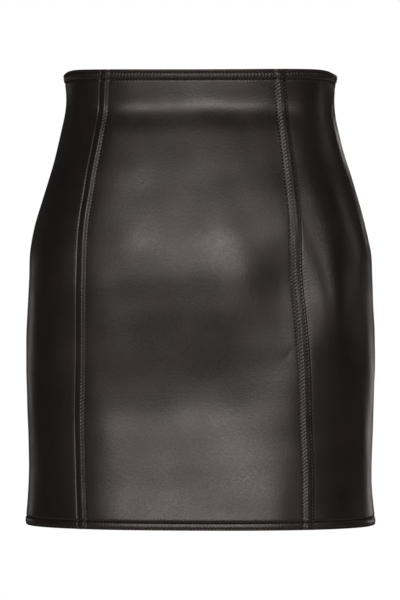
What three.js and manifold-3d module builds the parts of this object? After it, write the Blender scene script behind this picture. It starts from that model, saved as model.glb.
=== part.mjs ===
// A high-waisted leather mini skirt, held open in the shape it has when worn.
// A centre front panel is lapped over two side fronts, and two back panels meet at a zip.
// Units are millimetres, +Z is up, the front faces -Y and the wearer's left is +X.
// The origin is the middle of the waist, level with the waist edge at the centre front.
import * as THREE from "three";
import Module from "manifold-3d";

const wasm = await Module();
wasm.setup();

// Driving sizes of the cloth
const LENGTH = 438; // waist edge to hem
const LEATHER = 1.3; // one layer of leather
const SEAM_GAP = 0.3; // between neighbouring pieces
const TURNING = 10; // depth of the turned-in edge at the waist and the hem
const TURNING_STEP = 1; // over which the turned-in layer ends
const ROW_MARGIN = 13; // from the turned-in layer to the first plain row of a panel
const LAP = 9.2; // how far the centre front lies over each side front
const LAP_RAMP = 2.6; // where the centre front comes down off the side front
const TUCK = 7.4; // how much of each side front is hidden under the lap
const SIDE_SEAM_TURN = 86; // degrees round from the centre front
const FULLNESS = 0.045; // how far a section swells past an ellipse between its axes

// Driving sizes of the zip
const ZIP_LENGTH = 200; // waist edge to the bottom of the teeth
const ZIP_TOP = 7; // waist edge to the top of the teeth
const ZIP_SLOT = 9.8; // between the two folded edges beside the teeth
const SLOT_CLOSING = 16; // over which the slot narrows to the centre back seam
const TAPE = { width: 27, thick: 0.8, top: 2, below: 6, clear: 2 };
const TEETH = { width: 5, thick: 1.6 };
const SLIDER = { width: 8.8, length: 11, plate: 1.5, down: 11.5 };
const BAIL = { width: 2.2, wall: 1, holeLong: 3.2, holeHigh: 1.7, sunk: 0.4 };
const CORNER = 0.3; // radius or chamfer of the metal pieces' corners
const PULL = { width: 6.8, length: 27, thick: 1, eye: 3.5, eyeWidth: 3.2, waist: 0.6, holeRadius: 1.3 };

// Sections of the skirt: how far below the waist edge, half the width from side to side,
// and how far the front and the back stand off the middle plane.
const SECTIONS = [
  { down: 0, side: 133.0, front: 96.0, back: 90.0 },
  { down: 12, side: 131.1, front: 95.0, back: 88.6 },
  { down: 32, side: 130.5, front: 95.2, back: 88.8 },
  { down: 58, side: 134.7, front: 99.0, back: 93.0 },
  { down: 81, side: 140.2, front: 102.5, back: 99.2 },
  { down: 104, side: 147.3, front: 105.6, back: 106.8 },
  { down: 128, side: 154.7, front: 108.2, back: 114.6 },
  { down: 151, side: 160.9, front: 110.4, back: 121.6 },
  { down: 174, side: 165.2, front: 112.2, back: 126.8 },
  { down: 197, side: 166.5, front: 113.2, back: 129.4 },
  { down: 221, side: 167.4, front: 113.2, back: 129.8 },
  { down: 260, side: 169.0, front: 112.2, back: 127.4 },
  { down: 284, side: 169.3, front: 111.8, back: 125.4 },
  { down: 322, side: 168.1, front: 112.2, back: 122.4 },
  { down: 360, side: 166.8, front: 113.4, back: 120.4 },
  { down: 400, side: 166.7, front: 114.8, back: 119.4 },
  { down: 438, side: 169.7, front: 116.4, back: 119.8 },
];

// The outer edge of each lap: how far it stands off the middle plane, as seen from the front.
const LAPS = [
  { down: 0, right: 89.6, left: 87.4 },
  { down: 59, right: 95.1, left: 92.8 },
  { down: 105, right: 102.9, left: 99.0 },
  { down: 151, right: 110.3, left: 104.1 },
  { down: 197, right: 111.9, left: 106.5 },
  { down: 243, right: 112.5, left: 110.5 },
  { down: 288, right: 113.1, left: 113.1 },
  { down: 334, right: 113.9, left: 114.3 },
  { down: 380, right: 112.0, left: 115.7 },
  { down: 438, right: 108.8, left: 116.0 },
];

// The waist edge rises a little towards the sides and dips at the side seams.
const EDGE_RISE = 1.8;
const EDGE_DIP = 5.5;
const EDGE_DIP_TURN = 20; // half the dip's spread, in degrees
const EDGE_FADE = 40; // the dip is gone this far below the edge

// The largest soft folds. turn is degrees round from the centre front, towards the wearer's
// left; wide and tall are the half sizes of the fold and deep is how far it is pressed in.
const FOLDS = [
  { turn: 4, down: 37, wide: 84, tall: 14, deep: 1.5 },
  { turn: 32, down: 212, wide: 30, tall: 50, deep: 5.2 },
  { turn: 1, down: 182, wide: 45, tall: 62, deep: -3.2 },
  { turn: -15, down: 150, wide: 30, tall: 34, deep: -1.6 },
  { turn: 54, down: 215, wide: 18, tall: 60, deep: -3.4 },
  { turn: 0, down: 318, wide: 92, tall: 55, deep: 3.4 },
  { turn: -17, down: 440, wide: 28, tall: 40, deep: -3 },
  { turn: -30, down: 430, wide: 40, tall: 60, deep: -2.8 },
  { turn: 26, down: 436, wide: 40, tall: 60, deep: -2.2 },
  { turn: 6, down: 452, wide: 90, tall: 26, deep: -1.8 },
];

const LEATHER_FINISH = new THREE.MeshStandardMaterial({ color: 0x1c1a1a, roughness: 0.42, metalness: 0 });
const SIDE_FINISH = new THREE.MeshStandardMaterial({ color: 0x181616, roughness: 0.42, metalness: 0 });
const TAPE_FINISH = new THREE.MeshStandardMaterial({ color: 0x101011, roughness: 0.9, metalness: 0 });
const METAL_FINISH = new THREE.MeshStandardMaterial({ color: 0x4a4a4d, roughness: 0.35, metalness: 0.9 });

const radians = THREE.MathUtils.degToRad;

// Steps that a slope of the cloth is measured over
const SMALL_TURN = 0.002;
const SMALL_DROP = 1;

// A smooth curve through one column of a table, read at a distance down the skirt.
function along(table, column, down) {
  const slope = (i) => {
    const before = table[i - 1];
    const here = table[i];
    const after = table[i + 1];
    const rise = (a, b) => (b[column] - a[column]) / (b.down - a.down);
    if (!before) return rise(here, after);
    if (!after) return rise(before, here);
    const above = here.down - before.down;
    const below = after.down - here.down;
    return (rise(before, here) * below + rise(here, after) * above) / (above + below);
  };
  const last = table.length - 2;
  const found = table.findIndex((row, i) => i > last || down < table[i + 1].down);
  const i = Math.min(found, last);
  const span = table[i + 1].down - table[i].down;
  const t = (down - table[i].down) / span;
  const keep = 2 * t ** 3 - 3 * t ** 2 + 1;
  const ease = (t ** 3 - 2 * t ** 2 + t) * slope(i) + (t ** 3 - t ** 2) * slope(i + 1);
  return keep * table[i][column] + (1 - keep) * table[i + 1][column] + ease * span;
}

// How far the waist edge is lifted at a turn, fading out down the skirt.
function edgeLift(turn, down) {
  const fromSide = (Math.abs(Math.asin(Math.sin(turn))) - Math.PI / 2) / radians(EDGE_DIP_TURN);
  const lift = EDGE_RISE * Math.sin(turn) ** 2 - EDGE_DIP * Math.exp(-(fromSide ** 2));
  return lift * Math.max(0, 1 - down / EDGE_FADE) ** 2;
}

// A point of the outer face of a plain panel: an ellipse swollen between its axes, with its own
// depth at the front and at the back.
function section(turn, down) {
  const side = along(SECTIONS, "side", down);
  const front = along(SECTIONS, "front", down);
  const back = along(SECTIONS, "back", down);
  const depth = (front + back) / 2 + ((front - back) / 2) * Math.cos(turn);
  const swell = 1 + FULLNESS * Math.sin(2 * turn) ** 2;
  return new THREE.Vector3(
    side * Math.sin(turn) * swell,
    -depth * Math.cos(turn) * swell,
    -down + edgeLift(turn, down),
  );
}

// The unit vectors of the cloth at a point: round the skirt, up the skirt and out of it.
function clothAxes(turn, down) {
  const round = section(turn + SMALL_TURN, down).sub(section(turn - SMALL_TURN, down));
  const speed = round.length() / (2 * SMALL_TURN);
  const above = Math.max(down - SMALL_DROP, 0);
  const up = section(turn, above).sub(section(turn, above + 2 * SMALL_DROP)).normalize();
  round.normalize();
  const out = new THREE.Vector3().crossVectors(round, up).normalize();
  return { round, up: new THREE.Vector3().crossVectors(out, round), out, speed };
}

// The depth of the soft folds at a point, as a sum of smooth dents.
function folds(turn, down) {
  return FOLDS.reduce((sum, fold) => {
    const across = (turn - radians(fold.turn)) * along(SECTIONS, "side", down) / fold.wide;
    const below = (down - fold.down) / fold.tall;
    return sum - fold.deep * Math.exp(-(across ** 2) - below ** 2);
  }, 0);
}

// A point at a height out of the inner face of a plain panel, with the folds in it.
function skin(turn, down, height) {
  const { out } = clothAxes(turn, down);
  return section(turn, down).addScaledVector(out, height - LEATHER + folds(turn, down));
}

// The turn that lies some millimetres further round the skirt.
function further(turn, down, distance) {
  return turn + distance / clothAxes(turn, down).speed;
}

// The turn of a point that stands off the middle plane by some millimetres, at the front.
function turnAt(distance, down) {
  let low = 0;
  let high = Math.PI / 2;
  for (let i = 0; i < 30; i += 1) {
    const middle = (low + high) / 2;
    if (section(middle, down).x < distance) low = middle;
    else high = middle;
  }
  return (low + high) / 2;
}

// Evenly spaced numbers from a start to an end, both included.
function spread(start, end, count) {
  return Array.from({ length: count + 1 }, (_, i) => start + ((end - start) * i) / count);
}

// A closed solid from a grid of pairs of points: stations run round the skirt and rows down it.
function wall(name, stations, rows, material) {
  const across = stations.length;
  const positions = [];
  for (const down of rows) {
    for (const station of stations) {
      const turn = station.turn(down);
      positions.push(...skin(turn, down, station.high(down)).toArray());
      positions.push(...skin(turn, down, station.low(down)).toArray());
    }
  }
  const outer = (row, i) => 2 * (row * across + i);
  const inner = (row, i) => outer(row, i) + 1;
  const faces = [];
  const quad = (a, b, c, d) => faces.push(a, b, c, a, c, d);
  const lastRow = rows.length - 1;
  const lastStation = across - 1;
  for (let row = 0; row < lastRow; row += 1) {
    for (let i = 0; i < lastStation; i += 1) {
      quad(outer(row, i), outer(row + 1, i), outer(row + 1, i + 1), outer(row, i + 1));
      quad(inner(row, i), inner(row, i + 1), inner(row + 1, i + 1), inner(row + 1, i));
    }
    quad(outer(row, 0), inner(row, 0), inner(row + 1, 0), outer(row + 1, 0));
    quad(outer(row, lastStation), outer(row + 1, lastStation),
      inner(row + 1, lastStation), inner(row, lastStation));
  }
  for (let i = 0; i < lastStation; i += 1) {
    quad(outer(0, i), outer(0, i + 1), inner(0, i + 1), inner(0, i));
    quad(outer(lastRow, i), inner(lastRow, i), inner(lastRow, i + 1), outer(lastRow, i + 1));
  }
  const geometry = new THREE.BufferGeometry();
  geometry.setAttribute("position", new THREE.Float32BufferAttribute(positions, 3));
  geometry.setIndex(faces);
  geometry.computeVertexNormals();
  const mesh = new THREE.Mesh(geometry, material);
  mesh.name = name;
  return mesh;
}

// Rows of a panel, closer at the waist edge and the hem, where the edge is turned in.
const PANEL_ROWS = [
  0,
  TURNING,
  TURNING + TURNING_STEP,
  ...spread(TURNING + TURNING_STEP + ROW_MARGIN, ZIP_LENGTH, 10),
  ...spread(ZIP_LENGTH + SLOT_CLOSING, LENGTH - TURNING - TURNING_STEP - ROW_MARGIN, 10),
  LENGTH - TURNING - TURNING_STEP,
  LENGTH - TURNING,
  LENGTH,
];

// The second layer inside a turned edge, at the waist and at the hem.
function turnedLayer(down) {
  const turned = down <= TURNING || down >= LENGTH - TURNING;
  return turned ? LEATHER : 0;
}

// A station that lies flat on the wearer, one layer thick, with its turned edges.
function flatStation(turn, turned = turnedLayer) {
  return { turn, high: () => LEATHER, low: (down) => -turned(down) };
}

// A station of the centre front that lies on top of a side front.
function lappedStation(turn) {
  const under = LEATHER + SEAM_GAP;
  return { turn, high: () => under + LEATHER, low: () => under };
}

// The outer edge of the lap on one side: 1 is the wearer's left, -1 the right.
function lapEdge(hand, down) {
  const column = hand > 0 ? "left" : "right";
  return hand * turnAt(along(LAPS, column, down), down);
}

// A turn measured in millimetres from the lap's outer edge towards the centre front.
function insideLap(hand, distance) {
  return (down) => further(lapEdge(hand, down), down, -hand * distance);
}

// The turn a given share of the way between two others.
function between(first, second, share) {
  return (down) => first(down) + (second(down) - first(down)) * share;
}

function frontPanel() {
  const right = (distance) => insideLap(-1, distance);
  const left = (distance) => insideLap(1, distance);
  const foot = LAP + LAP_RAMP;
  const middle = spread(0, 1, 15).map((share) => flatStation(between(right(foot), left(foot), share)));
  return wall("front_panel", [
    lappedStation(right(0)),
    lappedStation(right(LAP / 2)),
    lappedStation(right(LAP)),
    ...middle,
    lappedStation(left(LAP)),
    lappedStation(left(LAP / 2)),
    lappedStation(left(0)),
  ], PANEL_ROWS, LEATHER_FINISH);
}

// The side seam, half a gap towards the front or the back of it.
function sideSeam(hand, towardsBack) {
  const seam = hand * radians(SIDE_SEAM_TURN);
  return (down) => further(seam, down, (hand * towardsBack * SEAM_GAP) / 2);
}

function sideFront(name, hand) {
  const hidden = insideLap(hand, TUCK);
  const seam = sideSeam(hand, -1);
  const stations = spread(0, 1, 11).map((share) => flatStation(between(hidden, seam, share)));
  if (hand < 0) stations.reverse();
  return wall(name, stations, PANEL_ROWS, SIDE_FINISH);
}

// Half the width of the opening at the centre back: the zip's slot, closing to a plain seam.
function halfSlot(down) {
  const past = THREE.MathUtils.clamp((down - ZIP_LENGTH) / SLOT_CLOSING, 0, 1);
  return THREE.MathUtils.lerp(ZIP_SLOT / 2, SEAM_GAP / 2, past);
}

// A turn measured in millimetres from the centre back, towards one hand.
function offCentreBack(hand, distance) {
  return (down) => further(hand * Math.PI, down, -hand * distance(down));
}

function backPanel(name, hand) {
  const seam = sideSeam(hand, 1);
  const clearOfTape = TAPE.width / 2 + TAPE.clear;
  const tapeSide = offCentreBack(hand, () => clearOfTape);
  const fold = offCentreBack(hand, halfSlot);
  const bare = (down) => (down <= TURNING ? 0 : turnedLayer(down));
  const stations = [
    ...spread(0, 1, 14).map((share) => flatStation(between(seam, tapeSide, share))),
    flatStation(offCentreBack(hand, () => clearOfTape - TURNING_STEP), bare),
    flatStation(fold, bare),
  ];
  if (hand < 0) stations.reverse();
  return wall(name, stations, PANEL_ROWS, SIDE_FINISH);
}

// A strip that runs down the centre back, at heights out of the inner face of a plain panel.
function centreBackStrip(name, width, low, high, top, bottom, material) {
  const stations = spread(-width / 2, width / 2, 4).map((x) => ({
    turn: (down) => further(Math.PI, down, -x),
    high: () => high,
    low: () => low,
  })).reverse();
  return wall(name, stations, spread(top, bottom, 18), material);
}

// Joins solids into one closed geometry.
function joined(geometries) {
  const solids = geometries.map((geometry) => {
    const flat = geometry.index ? geometry.toNonIndexed() : geometry;
    const points = new Map();
    const vertices = [];
    const triangles = Array.from({ length: flat.attributes.position.count }, (_, i) => {
      const point = new THREE.Vector3().fromBufferAttribute(flat.attributes.position, i).toArray();
      const key = point.map((value) => value.toFixed(4)).join();
      if (!points.has(key)) {
        points.set(key, points.size);
        vertices.push(...point);
      }
      return points.get(key);
    });
    return new wasm.Manifold(new wasm.Mesh({
      numProp: 3,
      vertProperties: new Float32Array(vertices),
      triVerts: new Uint32Array(triangles),
    }));
  });
  const whole = solids.reduce((sum, solid) => sum.add(solid)).getMesh();
  const geometry = new THREE.BufferGeometry();
  geometry.setAttribute("position", new THREE.Float32BufferAttribute(whole.vertProperties, 3));
  geometry.setIndex(Array.from(whole.triVerts));
  geometry.computeVertexNormals();
  return geometry;
}

// A rectangle with rounded corners, drawn into a shape or a hole.
function roundedRectangle(path, left, bottom, width, height) {
  const right = left + width - CORNER;
  const top = bottom + height - CORNER;
  path.absarc(right, bottom + CORNER, CORNER, -Math.PI / 2, 0);
  path.absarc(right, top, CORNER, 0, Math.PI / 2);
  path.absarc(left + CORNER, top, CORNER, Math.PI / 2, Math.PI);
  path.absarc(left + CORNER, bottom + CORNER, CORNER, Math.PI, Math.PI * 1.5);
  path.closePath();
  return path;
}

// A point on the centre back line, at a height out of the inner face of a plain panel.
function centreBack(down, height) {
  return section(Math.PI, down).addScaledVector(clothAxes(Math.PI, down).out, height - LEATHER);
}

const PLATE_LOW = TEETH.thick + SEAM_GAP;
const PLATE_HIGH = PLATE_LOW + SLIDER.plate;
const PIVOT_HEIGHT = PLATE_HIGH + BAIL.holeHigh / 2;

// The slider straddles the teeth as an upturned channel, with a bail on top for the pull.
function zipSlider() {
  const half = SLIDER.width / 2;
  const inside = TEETH.width / 2 + SEAM_GAP;
  const channel = new THREE.Shape([
    [-half, SEAM_GAP], [-inside, SEAM_GAP], [-inside, PLATE_LOW], [inside, PLATE_LOW],
    [inside, SEAM_GAP], [half, SEAM_GAP], [half, PLATE_HIGH - CORNER], [half - CORNER, PLATE_HIGH],
    [CORNER - half, PLATE_HIGH], [-half, PLATE_HIGH - CORNER],
  ].map(([x, y]) => new THREE.Vector2(x, y)));
  const body = new THREE.ExtrudeGeometry(channel, { depth: SLIDER.length, bevelEnabled: false });
  body.translate(0, 0, -SLIDER.length / 2);
  const long = BAIL.holeLong / 2 + BAIL.wall;
  const high = BAIL.holeHigh + BAIL.wall + BAIL.sunk;
  const arch = roundedRectangle(new THREE.Shape(), -long, PLATE_HIGH - BAIL.sunk, 2 * long, high);
  arch.holes.push(roundedRectangle(
    new THREE.Path(), -BAIL.holeLong / 2, PLATE_HIGH, BAIL.holeLong, BAIL.holeHigh));
  const bail = new THREE.ExtrudeGeometry(arch, { depth: BAIL.width, bevelEnabled: false, curveSegments: 4 });
  bail.translate(0, 0, -BAIL.width / 2);
  bail.rotateY(Math.PI / 2);
  const mesh = new THREE.Mesh(joined([body, bail]), METAL_FINISH);
  mesh.name = "zip_slider";
  const { round, up, out } = clothAxes(Math.PI, SLIDER.down);
  mesh.quaternion.setFromRotationMatrix(new THREE.Matrix4().makeBasis(round.negate(), out, up));
  mesh.position.copy(centreBack(SLIDER.down, 0));
  return mesh;
}

// The pull is a flat tab whose eye passes round the bail; it hangs plumb from the eye's top bar.
function zipPull() {
  const half = PULL.width / 2;
  const bar = PULL.thick / 2;
  const outline = new THREE.Shape();
  const narrowest = -2 * PULL.eye;
  outline.moveTo(-half, bar);
  outline.lineTo(-half + PULL.waist, narrowest);
  outline.lineTo(-half, half - PULL.length);
  outline.absarc(0, half - PULL.length, half, Math.PI, Math.PI * 2);
  outline.lineTo(half - PULL.waist, narrowest);
  outline.lineTo(half, bar);
  outline.closePath();
  outline.holes.push(roundedRectangle(
    new THREE.Path(), -PULL.eyeWidth / 2, -PULL.eye, PULL.eyeWidth, PULL.eye - bar));
  outline.holes.push(new THREE.Path().absarc(0, half - PULL.length, PULL.holeRadius, 0, Math.PI * 2));
  const flat = { depth: PULL.thick, bevelEnabled: false, curveSegments: 6 };
  const tab = new THREE.ExtrudeGeometry(outline, flat);
  tab.translate(0, 0, -PULL.thick / 2);
  tab.rotateX(Math.PI / 2);
  const mesh = new THREE.Mesh(tab, METAL_FINISH);
  mesh.name = "zip_pull";
  mesh.position.copy(centreBack(SLIDER.down, PIVOT_HEIGHT));
  return mesh;
}

function zip() {
  const tapeHigh = -SEAM_GAP;
  const tapeBottom = ZIP_LENGTH + TAPE.below;
  const group = new THREE.Group();
  group.add(centreBackStrip(
    "zip_tape", TAPE.width, tapeHigh - TAPE.thick, tapeHigh, TAPE.top, tapeBottom, TAPE_FINISH));
  group.add(centreBackStrip("zip_teeth", TEETH.width, 0, TEETH.thick, ZIP_TOP, ZIP_LENGTH, METAL_FINISH));
  group.add(zipSlider(), zipPull());
  return group;
}

const skirt = new THREE.Group();
skirt.add(
  frontPanel(),
  sideFront("side_front_left", 1),
  sideFront("side_front_right", -1),
  backPanel("back_panel_left", 1),
  backPanel("back_panel_right", -1),
  zip(),
);

export default skirt;
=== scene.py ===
"""A high-waisted leather mini skirt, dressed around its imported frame.

The cloth is worked out with numpy in millimetres: +Z is up, the front faces -Y and the wearer's
left is +X. A place on the skirt is a turn, in radians round from the centre front towards the
wearer's left, and a distance down from the waist edge. Heights are measured outwards from the
inner face of a plain panel.
"""

import bpy
import numpy as np
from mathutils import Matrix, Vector


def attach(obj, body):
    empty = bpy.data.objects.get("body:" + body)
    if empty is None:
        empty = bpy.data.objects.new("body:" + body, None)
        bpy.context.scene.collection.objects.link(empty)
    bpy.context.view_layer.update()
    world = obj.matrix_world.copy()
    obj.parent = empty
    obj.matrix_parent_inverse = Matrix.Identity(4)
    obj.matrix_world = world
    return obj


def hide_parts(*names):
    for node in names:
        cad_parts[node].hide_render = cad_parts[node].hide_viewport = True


bl_info = {
    "name": "Leather mini skirt",
    "version": (1, 0, 0),
    "blender": (4, 5, 0),
    "location": "3D View > Sidebar > Skirt",
    "description": "Builds the leather, topstitching and zip of a mini skirt, and its studio",
    "category": "Add Mesh",
}

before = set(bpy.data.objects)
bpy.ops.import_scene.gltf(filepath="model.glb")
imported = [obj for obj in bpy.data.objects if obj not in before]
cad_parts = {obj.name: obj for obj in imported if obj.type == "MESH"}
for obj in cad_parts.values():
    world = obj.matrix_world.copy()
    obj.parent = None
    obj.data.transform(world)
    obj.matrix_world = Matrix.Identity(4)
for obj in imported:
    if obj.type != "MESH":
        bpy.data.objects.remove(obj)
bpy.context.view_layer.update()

MM = 0.001


def table(names, *rows):
    """A short table of numbers with named columns."""
    return np.rec.fromrecords([tuple(map(float, row)) for row in rows], names=names)


# Cut of the skirt. The waist edge and the hem are turned in by TURNING, but not within LAP_SPAN
# of the laps, and the side fronts reach TUCK under the laps. Sewn edges overlap by a hair.
LENGTH = 438
LEATHER = 1.3
SEAM_GAP = 0.3
SEWN_OVERLAP = 0.1
TURNING = 10
TURNING_STEP = 1
LAP_SPAN = (9.2, 3)
TUCK = 7.4
SIDE_SEAM_TURN = np.radians(86)
FULLNESS = 0.045
ZIP_LENGTH = 200
ZIP_TOP = 7
ZIP_SLOT = 9.8
SLOT_CLOSING = 16

# Half the width from side to side, and how far front and back stand off the middle plane
SECTIONS = table(
    "down,side,front,back",
    (0, 133.0, 96.0, 90.0),
    (12, 131.1, 95.0, 88.6),
    (32, 130.5, 95.2, 88.8),
    (58, 134.7, 99.0, 93.0),
    (81, 140.2, 102.5, 99.2),
    (104, 147.3, 105.6, 106.8),
    (128, 154.7, 108.2, 114.6),
    (151, 160.9, 110.4, 121.6),
    (174, 165.2, 112.2, 126.8),
    (197, 166.5, 113.2, 129.4),
    (221, 167.4, 113.2, 129.8),
    (260, 169.0, 112.2, 127.4),
    (284, 169.3, 111.8, 125.4),
    (322, 168.1, 112.2, 122.4),
    (360, 166.8, 113.4, 120.4),
    (400, 166.7, 114.8, 119.4),
    (438, 169.7, 116.4, 119.8),
)

# How far the outer edge of each lap stands off the middle plane
LAPS = table(
    "down,right,left",
    (0, 89.6, 87.4),
    (59, 95.1, 92.8),
    (105, 102.9, 99.0),
    (151, 110.3, 104.1),
    (197, 111.9, 106.5),
    (243, 112.5, 110.5),
    (288, 113.1, 113.1),
    (334, 113.9, 114.3),
    (380, 112.0, 115.7),
    (438, 108.8, 116.0),
)

# The waist edge rises towards the sides and dips at the side seams
EDGE_RISE = 1.8
EDGE_DIP = 5.5
EDGE_DIP_TURN = np.radians(20)
EDGE_FADE = 40

# The largest soft folds: turn in degrees, half sizes, and how far each is pressed in
FOLDS = table(
    "turn,down,wide,tall,deep",
    (0, 38, 120, 15, 2.8),
    (-4, 38, 42, 15, -1.5),
    (32, 212, 30, 50, 5.2),
    (1, 182, 45, 62, -3.2),
    (-15, 150, 30, 34, -1.6),
    (50, 235, 24, 42, -4.5),
    (11, 132, 25, 45, -2.0),
    (-38, 84, 22, 32, -1.2),
    (14, 200, 26, 50, -2.4),
    (0, 318, 92, 55, 3.4),
    (-17, 442, 28, 38, -3.2),
    (-30, 430, 40, 60, -2.8),
    (26, 436, 40, 60, -2.2),
    (6, 452, 90, 26, -1.8),
)

# Small creases: turn in degrees, half sizes along and across, slant in degrees, and depth. The
# grid is fine out to some half sizes from each, and a margin in millimetres across it.
CREASE_FINE_LONG = 1.4
CREASE_FINE_WIDE = 1.6
CREASE_MARGIN = 2
CREASES = table(
    "turn,down,long,wide,slant,deep",
    (-1, 118, 9, 2.2, 66, -0.05),
    (-17, 108, 6, 2.0, -50, -0.04),
    (32, 271, 8, 2.8, -56, 0.11),
    (64, 150, 24, 3.0, 75, 0.22),
    (-66, 130, 26, 3.0, -72, 0.22),
    (150, 120, 20, 2.2, -35, 0.20),
    (-148, 134, 24, 2.4, 40, 0.20),
    (163, 236, 14, 1.6, -24, 0.14),
    (-158, 262, 12, 1.6, 30, 0.14),
)

# Slow unevenness of the hide: length and slant of each wave, its phase and half its height
WAVES = table(
    "long,slant,phase,tall",
    (118, 12, 0.4, 0.22),
    (83, 71, 2.1, 0.16),
    (61, -38, 4.0, 0.11),
    (47, 33, 1.2, 0.08),
    (36, 84, 5.1, 0.05),
    (29, -15, 3.3, 0.04),
)
WAVE_RADIUS = 140

# Steps for slopes, and how often a lap's edge is sought by halving
SMALL_TURN = 0.002
SMALL_DROP = 1
HALVINGS = 30

# The grid that panels are drawn on: even rows, and square cells of eight steps
CELL = 8
ROW_CELLS = 100
ROWS = ROW_CELLS * CELL
STEP = LENGTH / ROWS
EDGE_CELLS = 3

# Columns of each panel: fine ones at its edge nearer the front, calm ones, and fine ones
FRONT_CELLS = (EDGE_CELLS, 46, EDGE_CELLS)
SIDE_CELLS = (EDGE_CELLS, 24, 1)
BACK_CELLS = (1, 42, 2)

# Rows of stitches, measured from the edge that they follow. A lap has a crest between its two.
STITCH_STEPS = 6
PITCH = STITCH_STEPS * STEP
LAP_LINES = {"right": (2.4, 8.8, 12.0), "left": (2.2, 7.5, 11.7)}
WAIST_ROWS = (2.6, 9.1)
HEM_ROWS = (1.4, 8.0)
ZIP_ROW = 5.6
ALLOWANCE = 9

# The band of a turned edge: how it eases in and out, its puff, and its ribs
BAND_EASE = (1.6, 1.8)
BAND_PUFF = 0.35
WAIST_RIBS = 0.6
HEM_RIBS = 0.1

# A lap's slope ends LAP_FOOT before its second row, with a share of it rounded. The body of the
# panel beyond it lies a little low.
LAP_FOOT = 0.9
CREST_POWER = 1.2
ROUNDED_SHARE = 0.2
LAP_RIM = 1.1
BODY_SUNK = 0.15
BODY_RISE = 2.4

# Bells across an edge or a lap, in rows of: the line that each belongs to, how far inside that
# line it lies, its width and its height. Line 0 of a lap, and of a fold, is its edge.
EDGE_SUNK = ((0, 0, 0.7, 0.5), (1, 0, 0.75, 0.7))
EDGE_GATHERS = ((0, 0.9, 1.1, 0.7), (1, 0, 1.5, 1.0))
LAP_EDGE = {"right": ((0, 0.9, 0.75, 0.36), (1, 0, 0.6, -0.4)), "left": ((1, 0, 0.6, -0.2),)}
LAP_EDGE_GATHERS = ((1, 0.4, 0.9, 0.7),)
LAP_GATHERS = ((3, -0.2, 0.9, 1.5), (2, 0.8, 1.2, 1.2))
LAP_GATHERS_END = (12, 1.1)
SEAM_PUFF = ((0, 2.6, 1.6, 0.3), (0, 0, 0.9, -1.1))
BESIDE_LAP_SUNK = ((0, 0.6, 1.0, 0.25),)
BESIDE_LAP_GATHERS = ((0, 2.6, 1.6, 0.2),)
BESIDE_LAP_BANDS = (TUCK - 0.6, 1)
BESIDE_ZIP_PUFF = ((0, 2.6, 1.5, 0.5), (1, 0, 0.9, -0.6))
BESIDE_ZIP_GATHERS = ((1, 0, 1.5, 0.8),)

# Slant of the needle holes' dimples, in stitches to a millimetre, and the swing of their depth
LAP_HOLE_SLANT = 0.24
BESIDE_LAP_SLANT = 0.2
PULL_SWING = {"share": 0.35, "slow": 23.0, "quick": 7.1}

# Each lap, as shares of the puff: its crest, and how far its outer edge is bevelled. Then the
# pull of its thread: at the waist, what is added below, where that begins and over what span.
LAP_CREST = {"right": 0.9, "left": 0.5}
LAP_BEVEL = {"right": 0, "left": 0.5}
LAP_PULL = {"right": (0.4, 0.9, 260, 100), "left": (1.0, 0.4, 100, 120)}

# Where the inner face steps down from the side front to the body of the panel, over what span,
# and the least thickness that it leaves
LAP_STEP = {"right": 8.6, "left": 8.0}
STEP_SPAN = 2.6
THINNEST = 0.6

# The two sides of the skirt, as the wearer's
HANDS = (("left", 1), ("right", -1))

# The grids of the panels by the names of their solids, kept for the rows of stitches
panels = {}


def along(rows, column, down):
    """A smooth curve through one column of a table: cubic Hermite steps from row to row."""
    x = rows["down"]
    y = rows[column]
    slope = np.gradient(y, x)
    i = np.clip(np.searchsorted(x, down, side="right") - 1, 0, len(x) - 2)
    span = x[i + 1] - x[i]
    t = (down - x[i]) / span
    keep = 2 * t**3 - 3 * t**2 + 1
    ease_in = (t**3 - 2 * t**2 + t) * slope[i]
    ease_out = (t**3 - t**2) * slope[i + 1]
    return keep * y[i] + (1 - keep) * y[i + 1] + (ease_in + ease_out) * span


def edge_lift(turn, down):
    """Lift of the waist edge: a rise with the sine squared, less a bell at each side seam."""
    from_side = (np.abs(np.arcsin(np.sin(turn))) - np.pi / 2) / EDGE_DIP_TURN
    lift = EDGE_RISE * np.sin(turn) ** 2 - EDGE_DIP * np.exp(-(from_side**2))
    return lift * np.maximum(0, 1 - down / EDGE_FADE) ** 2


def section(turn, down):
    """The outer face of a plain panel: an ellipse swollen between its axes, with its own depth
    at the front and at the back."""
    side = along(SECTIONS, "side", down)
    front = along(SECTIONS, "front", down)
    back = along(SECTIONS, "back", down)
    depth = (front + back) / 2 + (front - back) / 2 * np.cos(turn)
    swell = 1 + FULLNESS * np.sin(2 * turn) ** 2
    x = side * np.sin(turn) * swell
    y = -depth * np.cos(turn) * swell
    return np.stack(np.broadcast_arrays(x, y, edge_lift(turn, down) - down), axis=-1)


def unit(vectors):
    """Vectors scaled to a length of 1."""
    return vectors / np.linalg.norm(vectors, axis=-1, keepdims=True)


def ahead_of(turn, down):
    """A short step round the plain panel, towards the wearer's left at the front."""
    return section(turn + SMALL_TURN, down) - section(turn - SMALL_TURN, down)


def round_speed(turn, down):
    """Millimetres of cloth to a radian of turn."""
    return np.linalg.norm(ahead_of(turn, down), axis=-1) / (2 * SMALL_TURN)


def outward(turn, down):
    """The unit normal of the cloth: across both the way round and the way up."""
    above = np.maximum(down - SMALL_DROP, 0)
    rise = section(turn, above) - section(turn, above + 2 * SMALL_DROP)
    return unit(np.cross(ahead_of(turn, down), rise))


def folds(turn, down):
    """The soft folds, as a sum of bells pressed in or out."""
    side = along(SECTIONS, "side", down)
    total = 0
    for fold in FOLDS:
        across = (turn - np.radians(fold["turn"])) * side / fold["wide"]
        below = (down - fold["down"]) / fold["tall"]
        total = total - fold["deep"] * np.exp(-(across**2) - below**2)
    return total


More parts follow.
